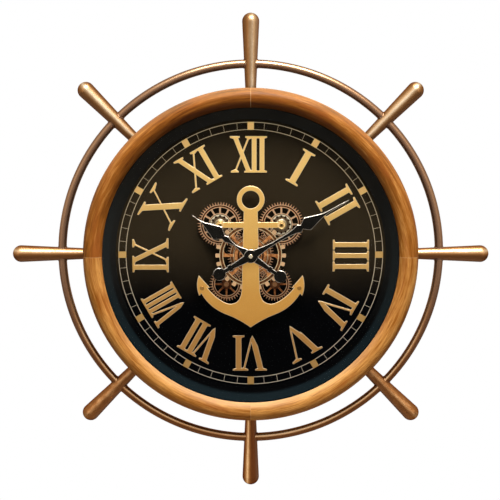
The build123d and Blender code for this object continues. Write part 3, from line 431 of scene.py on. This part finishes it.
def paneFinish(name):
    # thin clear pane, a trace of grey in it, with faint smears
    def draw(wire, place):
        smear = wire.noise(place, *pane["smears"]).step(*pane["smearSpan"])
        return {"Alpha": pane["body"] + pane["smear"] * smear,
                "Roughness": pane["rough"] + pane["roughMore"] * smear}
    return finish(name, {"Base Color": (*pane["tint"], 1), "Specular IOR Level": pane["gloss"]}, draw)


cellLook = {"wrap": (0.02, 0.02, 0.022), "collar": (0.55, 0.30, 0.12), "share": 0.72, "metal": 0.2,
            "collarMetal": 0.6, "specks": (600.0, 2.0), "rough": 0.30, "roughMore": 0.1}


def cellFinish(name):
    # dark wrapped cell with a copper-coloured collar at one end
    low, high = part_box("aa_cells")

    def draw(wire, place):
        collar = (place.axes()[0] - low.x) / (high.x - low.x) > cellLook["share"]
        speck = wire.noise(place, *cellLook["specks"])
        return {"Base Color": wire.mix(collar, cellLook["wrap"], cellLook["collar"]),
                "Metallic": cellLook["collarMetal"] * collar + cellLook["metal"],
                "Roughness": cellLook["rough"] + cellLook["roughMore"] * speck}
    return finish(name, {}, draw)


lacquer = {"top": (0.0290, 0.0205, 0.0105), "low": (0.0008, 0.0008, 0.0012), "cloud": (10.0, 3.0),
           "cloudReach": 0.04, "heights": (-0.085, 0.030), "rough": 0.62, "roughMore": 0.06}


def dialFinish(name):
    # black lacquer on board, with a painted reflection of the glass: browner and paler towards the top
    def draw(wire, place):
        cloud = wire.noise(place, *lacquer["cloud"])
        tone = (place.axes()[2] + cloud.swing() * lacquer["cloudReach"]).step(*lacquer["heights"])
        return {"Base Color": wire.mix(tone, lacquer["low"], lacquer["top"]),
                "Roughness": lacquer["rough"] + lacquer["roughMore"] * cloud}
    return finish(name, {"Specular IOR Level": 0.0}, draw)


spacerLook = {"high": (0.034, 0.033, 0.029), "low": (0.0010, 0.0010, 0.0012), "tealReflection": (0.0064, 0.0116, 0.0140),
              "cloud": (30.0, 3.0), "cloudReach": 0.06, "heights": (-0.13, 0.17), "edge": 0.0385,
              "edgeSpan": (0.0, 0.006), "rough": 0.60, "roughMore": 0.10}


def spacerFinish(name):
    # black paint, painted greyer high up and with a painted blue-green reflection low down along its front edge
    def draw(wire, place):
        y, z = place.axes()[1:]
        cloud = wire.noise(place, *spacerLook["cloud"])
        height = (z + cloud.swing() * spacerLook["cloudReach"]).step(*spacerLook["heights"])
        edge = (-spacerLook["edge"] - y).step(*spacerLook["edgeSpan"])
        # painted blue-green reflection low down along the front edge
        lower = wire.mix(edge, spacerLook["low"], spacerLook["tealReflection"])
        return {"Base Color": wire.mix(height, lower, spacerLook["high"]),
                "Roughness": spacerLook["rough"] + spacerLook["roughMore"] * cloud}
    return finish(name, {"Specular IOR Level": 0.0}, draw)


# gilt: colour at the top and at the foot, roughness; plain: light, deep, roughness, scale and depth of the
# grain; brushed: light, deep, roughness, axis of the lines
finishes = {
    "rim": bronzeFinish("rimBronze", "rim"),
    "board": plainFinish("boardBlack", (0.020, 0.019, 0.018), (0.010, 0.010, 0.010), 0.60, 900.0, 0.0003),
    "band": plainFinish("bandBlack", (0.016, 0.016, 0.017), (0.007, 0.007, 0.008), 0.42, 1400.0, 0.0002),
    "spacer": spacerFinish("spacerBlack"),
    "dial": dialFinish("dialBlack"),
    "numerals": giltFinish("numeralGilt", (1.0, 0.645, 0.210), (0.57, 0.278, 0.074)),
    "anchor": giltFinish("anchorGilt", (1.0, 0.62, 0.180), (0.78, 0.365, 0.070)),
    # pale gilt for bevels: a painted glint along the edges
    "edge": giltFinish("giltEdgeGlint", (1.0, 0.75, 0.42), (0.84, 0.64, 0.40), 0.48),
    "cap": giltFinish("capGilt", (0.96, 0.66, 0.28), (0.80, 0.50, 0.18), 0.34),
    "screw": giltFinish("screwGilt", (0.60, 0.33, 0.09), (0.36, 0.17, 0.04)),
    "print": giltFinish("chapterPrint", (0.60, 0.47, 0.28), (0.64, 0.55, 0.42), 0.50),
    "block": giltFinish("blockGilt", (0.92, 0.58, 0.20), (0.56, 0.32, 0.10)),
    "steel": brushedFinish("fittingSteel", (0.56, 0.55, 0.53), (0.38, 0.37, 0.36), 0.30, 2),
    "zinc": plainFinish("zincPlate", (0.58, 0.58, 0.55), (0.40, 0.41, 0.40), 0.38, 260.0, 0.0001,
                        {"Metallic": 1.0}),
    "post": brushedFinish("postCopper", (0.34, 0.16, 0.065), (0.22, 0.09, 0.036), 0.36, 1),
    "brass": brushedFinish("turnedBrass", (0.70, 0.45, 0.17), (0.52, 0.31, 0.11), 0.34, 1),
    "champagne": brushedFinish("nutChampagne", (0.86, 0.74, 0.52), (0.70, 0.56, 0.36), 0.24, 1),
    "hand": plainFinish("handBlack", (0.010, 0.009, 0.007), (0.005, 0.004, 0.003), 0.40, 1500.0, 0.00002,
                        {"Specular IOR Level": 0.03}),
    "handEdge": brushedFinish("handEdge", (0.60, 0.54, 0.45), (0.44, 0.39, 0.32), 0.36, 2),
    "plastic": plainFinish("movementBlack", (0.020, 0.020, 0.021), (0.011, 0.011, 0.012), 0.48, 2600.0, 0.0002),
    "white": plainFinish("wheelWhite", (0.74, 0.73, 0.69), (0.62, 0.61, 0.57), 0.42, 1800.0, 0.0001),
    "cell": cellFinish("cellWrap"),
    "pane": paneFinish("clockGlass"),
}
handleKinds = {0: "upright", 45: "leaning", 90: "level", 135: "leaning"}
for angle, kind in handleKinds.items():
    finishes[f"handle{angle}"] = bronzeFinish(f"handleBronze{angle}", kind, angle)
quarters = [(45, 0.005, 0.0), (135, 0.065, 1.7), (225, 0.05, 3.1), (315, -0.03, 4.6)]  # angle, tone, drift
for number, quarter in enumerate(quarters, 1):
    finishes[f"teak{number}"] = teakFinish(f"teak{number}", *quarter)


def middleOf(node):
    # the x and z of a round node's axis, from its box
    low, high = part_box(node)
    return ((low.x + high.x) / 2, (low.z + high.z) / 2)


upperLook = {"front": 0.035, "bright": 0.95, "teeth": 0.0298, "lines": [0.0170, 0.0257, 0.0292],
             "grooves": [0.0275, 0.0284], "spokes": (0.0160, 0.0252), "boss": 0.0158, "bossFront": 0.0364,
             "ring": (0.0128, 0.0150), "collar": 0.0084, "cap": 0.0064}
lowerLook = {"front": 0.035, "bright": 0.62, "teeth": 0.0217, "lines": [0.0018, 0.0180, 0.0212],
             "grooves": [0.0196], "hub": (0.0034, 0.0076)}
# bright scales all of a gear's colours; the centre gear's low value paints it darker, as shade behind the
# castle wheel
gears = {
    "upper_gear_left": upperLook, "upper_gear_right": upperLook,
    "lower_gear_left": lowerLook, "lower_gear_right": lowerLook,
    "centre_gear": {"front": 0.035, "bright": 0.66, "teeth": 0.0310, "lines": [0.0140, 0.0190, 0.0265, 0.0305],
                    "grooves": [0.0152, 0.0202, 0.0240, 0.0290]},
    "drive_pinion": {"front": 0.035, "bright": 0.60, "teeth": 0.0066, "lines": [], "grooves": []},
    "castle_wheel": {"front": 0.040, "bright": 1.3, "teeth": 0.0470, "lines": [0.0256, 0.0418, 0.0465],
                     "grooves": [0.0246, 0.0428, 0.0455]},
}
for node, look in gears.items():
    x, z = middleOf(node)
    finishes[node] = copperFinish(node + "Copper", {"shift": (-x, 0, -z), **look})

nodeFinish = {
    "case_band": "band", "back_board": "board", "hanger_plate": "zinc", "board_screws": "zinc",
    "band_screws": "zinc", "rim_screws": "zinc", "handle_screws": "zinc", "glass": "pane",
    "spacer_ring": "spacer", "dial": "dial", "dial_pillars": "steel", "hour_numerals": "numerals",
    "anchor": "anchor", "anchor_screws": "screw", "dial_posts": "post", "gear_washers": "brass",
    "post_nuts": "zinc", "centre_bush": "brass", "stem_nut": "brass", "gear_motor": "zinc",
    "motor_case": "plastic", "motor_cover": "plastic", "movement_case": "plastic",
    "movement_cover": "plastic", "aa_cells": "cell", "cell_contacts": "zinc", "minute_arbor": "steel",
    "minute_hand": "hand", "hand_nut": "champagne", "hour_tube": "brass", "hour_hand": "hand",
    "motion_wheel": "white", "set_knob": "white",
}
nodeFinish.update({node: node for node in gears})
nodeFinish.update({f"handle_{k}": f"handle{(k - 1) * 45 % 180}" for k in range(1, 9)})
nodeFinish.update({f"rim_arc_{k}": "rim" for k in range(1, 9)})
nodeFinish.update({f"wood_rim_{k}": f"teak{k}" for k in range(1, 5)})
for node, look in nodeFinish.items():
    for holder in nodes[node].material_slots:
        holder.material = finishes[look]
print("finishes:", len(finishes), "on", len(nodeFinish), "nodes")


def addPiece(name, points, faces, looks, body, slot):
    # a mesh of the given points and faces, with its finishes, on its body
    mesh = bpy.data.meshes.new(name)
    mesh.from_pydata(np.asarray(points).tolist(), [], [list(face) for face in faces])
    piece = bpy.data.objects.new(name, mesh)
    bpy.context.scene.collection.objects.link(piece)
    for look in looks:
        mesh.materials.append(finishes[look])
    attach(piece, body)
    return piece


def tubeFaces(rows, columns, closedRows=True):
    # quads between neighbours of a grid whose columns close on themselves, and its rows too where asked
    row = np.arange(rows if closedRows else rows - 1)[:, None]
    column = np.arange(columns)[None, :]
    after, beside = (row + 1) % rows, (column + 1) % columns
    corners = [row * columns + column, row * columns + beside,
               after * columns + beside, after * columns + column]
    return np.stack(corners, -1).reshape(-1, 4)


def flatRing(radius, width, back, front, steps):
    # a rectangle of the given width, from back to front, carried round the clock's axis
    angle = np.linspace(0, 2 * np.pi, steps, endpoint=False)[:, None]
    reach = radius + width * np.array([-0.5, 0.5, 0.5, -0.5])[None, :]
    depth = np.array([back, back, front, front])[None, :] + 0 * angle
    points = np.stack([reach * np.sin(angle), -depth, reach * np.cos(angle)], -1).reshape(-1, 3)
    return points, tubeFaces(steps, 4)[:, ::-1]


def radialBars(angles, inner, outer, width, back, front):
    # one box for each clock angle, its long side along the radius
    half = width / 2
    section = ((-half, back), (half, back), (half, front), (-half, front))
    side, reach, depth = np.array([[s, r, d] for r in (inner, outer) for s, d in section]).T[:, None]
    a = np.asarray(angles)[:, None]
    points = np.stack([reach * np.sin(a) + side * np.cos(a), -depth + 0 * a,
                       reach * np.cos(a) - side * np.sin(a)], -1).reshape(-1, 3)
    box = np.array([[0, 1, 2, 3], [7, 6, 5, 4], [0, 4, 5, 1], [1, 5, 6, 2], [2, 6, 7, 3], [3, 7, 4, 0]])
    faces = (box[None] + 8 * np.arange(len(a))[:, None, None]).reshape(-1, 4)
    return points, faces


def together(parts):
    # several point and face arrays as one
    starts = np.cumsum([0] + [len(points) for points, faces in parts])
    return (np.concatenate([points for points, faces in parts]),
            np.concatenate([faces + start for (points, faces), start in zip(parts, starts)]))


chapter = {"outer": 0.1988, "inner": 0.1879, "line": 0.0009, "tick": 0.0005, "block": 0.0096,
           "back": 0.02995, "front": 0.03005, "blockFront": 0.03008, "overlap": 0.0005, "steps": 360}
minutes = np.arange(60) * np.pi / 30
ticks = minutes[np.arange(60) % 5 > 0]
lines = together([
    flatRing(chapter["outer"], chapter["line"], chapter["back"], chapter["front"], chapter["steps"]),
    flatRing(chapter["inner"], chapter["line"], chapter["back"], chapter["front"], chapter["steps"]),
    radialBars(ticks, chapter["inner"], chapter["outer"], chapter["tick"], chapter["back"], chapter["front"]),
])
addPiece("chapter_lines", *lines, ["print"], "case", "gilt")
blocks = radialBars(minutes[::5], chapter["inner"] - chapter["overlap"], chapter["outer"] + chapter["overlap"],
                    chapter["block"], chapter["back"], chapter["blockFront"])
addPiece("chapter_blocks", *blocks, ["block"], "case", "gilt")
print("chapter ring printed")


bead = {"rim": bronze["rim"], "rod": bronze["rod"], "depth": 0.018, "handle": 0.0091, "handles": 8,
        "size": 0.0014, "lump": 0.16, "lumps": 9, "drift": 3, "squash": 0.5, "seat": 0.4,
        "round": 40, "section": 10}


def weldBeads():
    # a small round bead, lumpy along its run, carried along the saddle curve where the rod meets each
    # side of a handle
    u = np.linspace(0, 2 * np.pi, bead["round"], endpoint=False)[None, :, None]
    v = np.linspace(0, 2 * np.pi, bead["section"], endpoint=False)[None, None, :]
    turn = np.repeat(np.arange(bead["handles"]) * 2 * np.pi / bead["handles"], 2)[:, None, None]
    side = np.tile([-1.0, 1.0], bead["handles"])[:, None, None]
    size = bead["size"] * (1 + bead["lump"] * np.sin(bead["lumps"] * u + bead["drift"] * turn + side))
    swell = bead["rod"] + size * bead["squash"] * np.cos(v)
    saddle = np.sqrt(bead["handle"] ** 2 - (bead["rod"] * np.sin(u)) ** 2)
    across = saddle + size * (bead["seat"] + np.sin(v))
    reach = bead["rim"] + swell * np.cos(u) - across ** 2 / (2 * bead["rim"])
    depth = bead["depth"] + swell * np.sin(u) + 0 * turn
    shift = side * across
    points = np.stack([reach * np.sin(turn) + shift * np.cos(turn), -depth + 0 * reach,
                       reach * np.cos(turn) - shift * np.sin(turn)], -1)
    one = tubeFaces(bead["round"], bead["section"])
    faces = np.where(side > 0, one[None], one[None, :, ::-1])
    starts = bead["round"] * bead["section"] * np.arange(len(side))
    return points.reshape(-1, 3), (faces + starts[:, None, None]).reshape(-1, 4)


welds = addPiece("rim_welds", *weldBeads(), ["rim"], "case", "bronze")
welds.data.polygons.foreach_set("use_smooth", np.ones(len(welds.data.polygons), bool))
print("weld beads made")


mergeDigits = 7  # points of a CAD node that agree to this many decimals of a metre are one


def solidOf(node):
    # a CAD node's triangles with their doubled points merged
    source = nodes[node].data
    spots = np.empty(len(source.vertices) * 3)
    source.vertices.foreach_get("co", spots)
    source.calc_loop_triangles()
    corners = np.empty(len(source.loop_triangles) * 3, int)
    source.loop_triangles.foreach_get("vertices", corners)
    points, where = np.unique(np.round(spots.reshape(-1, 3), mergeDigits), axis=0, return_inverse=True)
    faces = where.reshape(-1)[corners].reshape(-1, 3)
    whole = (faces != np.roll(faces, 1, axis=1)).all(axis=1)
    return points, faces[whole]


softEdge = {"flat": 0.004, "sharp": 40, "segments": 2,  # flat in radians, sharp in degrees
            "pieces": {"anchor": (0.0006, "anchor"), "hour_numerals": (0.00045, "numerals")}}


def softEdged(node, width, look):
    # a CAD node's own solid, its triangles made flat faces again, with its edges bevelled in pale gilt that
    # paints a glint along them
    piece = addPiece(node + "_dressed", *solidOf(node), [look, "edge"], "case", "gilt")
    work = bmesh.new()
    work.from_mesh(piece.data)
    bmesh.ops.dissolve_limit(work, angle_limit=softEdge["flat"], verts=work.verts, edges=work.edges)
    work.to_mesh(piece.data)
    work.free()
    bevel = piece.modifiers.new("edges", "BEVEL")
    bevel.width = width
    bevel.segments = softEdge["segments"]
    bevel.limit_method = "ANGLE"
    bevel.angle_limit = math.radians(softEdge["sharp"])
    bevel.use_clamp_overlap = False
    bevel.material = 1
    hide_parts(node)


for node, (width, look) in softEdge["pieces"].items():
    softEdged(node, width, look)
print("bevelled pieces made")


rosette = {"middles": [middleOf("upper_gear_left"), middleOf("upper_gear_right")], "steps": 48,
           "profile": [(0.0055, 0.0445), (0.0060, 0.0447), (0.0059, 0.0453), (0.0050, 0.0456), (0.0043, 0.0453),
                       (0.0037, 0.0453), (0.0033, 0.0457), (0.0018, 0.0459), (0.0006, 0.0459)]}


def rosettes():
    # the profile's radius and depth carried round each of two middles, closed by a flat face at both ends
    rows, steps = len(rosette["profile"]), rosette["steps"]
    turn = np.linspace(0, 2 * np.pi, steps, endpoint=False)[None, :]
    reach, depth = [np.array(column)[:, None] for column in zip(*rosette["profile"])]
    one = [tubeFaces(rows, steps, False)[:, ::-1].tolist(),
           [list(range(steps))], [list(range(rows * steps - 1, (rows - 1) * steps - 1, -1))]]
    points, faces = [], []
    for number, (x, z) in enumerate(rosette["middles"]):
        spots = np.stack([x + reach * np.sin(turn), -depth + 0 * turn, z + reach * np.cos(turn)], -1)
        points.append(spots.reshape(-1, 3))
        faces += [[corner + number * rows * steps for corner in face] for group in one for face in group]
    return np.concatenate(points), faces


addPiece("stock_rosettes", *rosettes(), ["cap"], "case", "gilt")
print("rosettes made")


blade = {"bevel": 0.0007, "bevelMost": 0.95, "drop": 0.0005, "tip": 0.0006, "steps": 260, "hair": 2e-6,
         "turns": {"hour_hand": (305.0, "hour"), "minute_hand": (60.0, "minute")}}


def bladePiece(node, degrees, body):
    # a bevelled section carried along the hand: as wide as the CAD outline at each place along the axis,
    # full depth at the back, lower by the drop at the sides and full again inside the bevel
    points, faces = solidOf(node)
    turn = math.radians(degrees)
    axis = np.array([math.sin(turn), math.cos(turn)])
    side = np.array([math.cos(turn), -math.sin(turn)])
    flat = points[:, [0, 2]]
    along, across = flat @ axis, flat @ side
    edges = np.concatenate([faces[:, [0, 1]], faces[:, [1, 2]], faces[:, [2, 0]]])
    low, high = np.sort(along[edges], axis=1).T
    first = np.where(along[edges[:, 0]] <= along[edges[:, 1]], edges[:, 0], edges[:, 1])
    last = edges.sum(1) - first
    hair, ends = blade["hair"], (along.min(), along.max())
    places = np.concatenate([np.linspace(*ends, blade["steps"]), along - hair, along + hair])
    places = np.unique(np.round(np.clip(places, ends[0] + hair, ends[1] - hair), mergeDigits))
    share = (places[:, None] - low) / np.maximum(high - low, 1e-12)  # how far along each edge, kept off 0 / 0
    crossing = across[first] + share * (across[last] - across[first])
    width = np.where((share >= 0) & (share <= 1), crossing, 0).max(1)
    width = np.maximum(width, blade["tip"])
    inset = width - np.minimum(blade["bevel"], blade["bevelMost"] * width)
    back, front = [depth + 0 * width for depth in (-points[:, 1].max(), -points[:, 1].min())]
    shoulder = front - blade["drop"]
    across = np.stack([-width, -width, -inset, inset, width, width], 1)
    depth = np.stack([back, shoulder, front, front, shoulder, back], 1)
    spots = places[:, None, None] * axis + across[..., None] * side
    spots = np.stack([spots[..., 0], -depth, spots[..., 1]], -1).reshape(-1, 3)
    rows, corners = across.shape
    walls = tubeFaces(rows, corners, False)[:, ::-1].tolist()
    caps = [list(range(corners)), list(range(corners * rows - 1, corners * (rows - 1) - 1, -1))]
    piece = addPiece(node + "_blade", spots, walls + caps, ["hand", "handEdge"], body, "black_hand")
    strip = np.append(np.tile([1, 1, 0, 1, 1, 0], rows - 1), [0, 0])  # sides and bevels in the edge finish
    piece.data.polygons.foreach_set("material_index", strip)
    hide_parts(node)


for node, (degrees, body) in blade["turns"].items():
    bladePiece(node, degrees, body)
print("hands made")


stage = {"floor": -0.90, "near": -5.6, "far": 1.4, "wide": 3.5, "tone": (0.50, 0.49, 0.48),
         "worn": (0.46, 0.45, 0.44), "cloud": (3.0, 2.0), "glow": 0.32}


def seenRay(wire):
    # 1 for rays of the camera, of gloss and of glass
    path = wire.node("LightPath").socket.node
    camera, glossy, through = [Wire(wire.tree, path.outputs[name]) for name in
                               ("Is Camera Ray", "Is Glossy Ray", "Is Transmission Ray")]
    return wire.math("MAXIMUM", camera, wire.math("MAXIMUM", glossy, through))


def floorFinish():
    # pale paint with a faint cloud, lifted to near white where it is seen
    material = bpy.data.materials.new("paleFloor")
    material.use_nodes = True
    tree = material.node_tree
    tree.nodes.remove(tree.nodes["Principled BSDF"])
    wire = Wire(tree)
    cloud = wire.noise(wire.node("TexCoord", out=objectOut), *stage["cloud"])
    paint = wire.node("BsdfDiffuse", None, {"Color": wire.mix(cloud, stage["tone"], stage["worn"])})
    glow = wire.node("Emission", None, {"Color": (1, 1, 1, 1), "Strength": stage["glow"] * seenRay(wire)})
    face = wire.node("AddShader", None, {0: paint, 1: glow})
    tree.links.new(face.socket, tree.nodes["Material Output"].inputs[0])
    return material


floorCorners = [(-stage["wide"], stage["near"]), (stage["wide"], stage["near"]),
                (stage["wide"], stage["far"]), (-stage["wide"], stage["far"])]
floorMesh = bpy.data.meshes.new("floor")
floorMesh.from_pydata([(x, y, stage["floor"]) for x, y in floorCorners], [], [(0, 1, 2, 3)])
floorMesh.materials.append(floorFinish())
floor = bpy.data.objects.new("floor", floorMesh)
bpy.context.scene.collection.objects.link(floor)

studio = {"ambient": 0.03, "aim": (0.0, -0.03, 0.0)}
world = bpy.data.worlds.new("studio")
bpy.context.scene.world = world
world.use_nodes = True
back = world.node_tree.nodes["Background"]
back.inputs["Color"].default_value = (1, 1, 1, 1)
air = Wire(world.node_tree)
level = studio["ambient"] + (1 - studio["ambient"]) * seenRay(air)
world.node_tree.links.new(level.socket, back.inputs["Strength"])

sideLamp = {"size": (0.6, 2.2), "power": 7.0, "spread": 180, "colour": (1.0, 0.97, 0.93)}
lamps = {
    "key": {"at": (0.25, -1.16, 2.08), "size": (1.4, 0.9), "power": 25.0, "spread": 80,
            "colour": (1.0, 0.985, 0.965)},
    "left": {"at": (-1.75, -1.75, 0.55), **sideLamp},
    "right": {"at": (1.75, -1.75, 0.55), **sideLamp},
}
for name, lamp in lamps.items():
    data = bpy.data.lights.new(name, "AREA")
    data.shape = "RECTANGLE"
    data.size, data.size_y = lamp["size"]
    data.energy = lamp["power"]
    data.spread = math.radians(lamp["spread"])
    data.color = lamp["colour"]
    light = bpy.data.objects.new(name, data)
    bpy.context.scene.collection.objects.link(light)
    light.location = lamp["at"]
    aim = np.array(studio["aim"]) - np.array(lamp["at"])
    yaw = math.atan2(aim[0], -aim[1])
    tilt = math.acos(-aim[2] / np.linalg.norm(aim))
    light.rotation_euler = (-tilt, 0, yaw)

shot = {"target": (0.0, -0.018, 0.0), "rise": 7.5, "distance": 2.1, "field": 0.7575, "shift": (-0.0014, 0.0072)}
lens = bpy.data.cameras.new("camera")
lens.angle = 2 * math.atan(shot["field"] / 2 / shot["distance"])
lens.shift_x, lens.shift_y = shot["shift"]
camera = bpy.data.objects.new("camera", lens)
bpy.context.scene.collection.objects.link(camera)
rise = math.radians(shot["rise"])
x, y, z = shot["target"]
camera.location = (x, y - shot["distance"] * math.cos(rise), z + shot["distance"] * math.sin(rise))
camera.rotation_euler = (math.pi / 2 - rise, 0, 0)
bpy.context.scene.camera = camera
bpy.context.scene.view_settings.view_transform = "Standard"
print("stage, lamps and camera set")
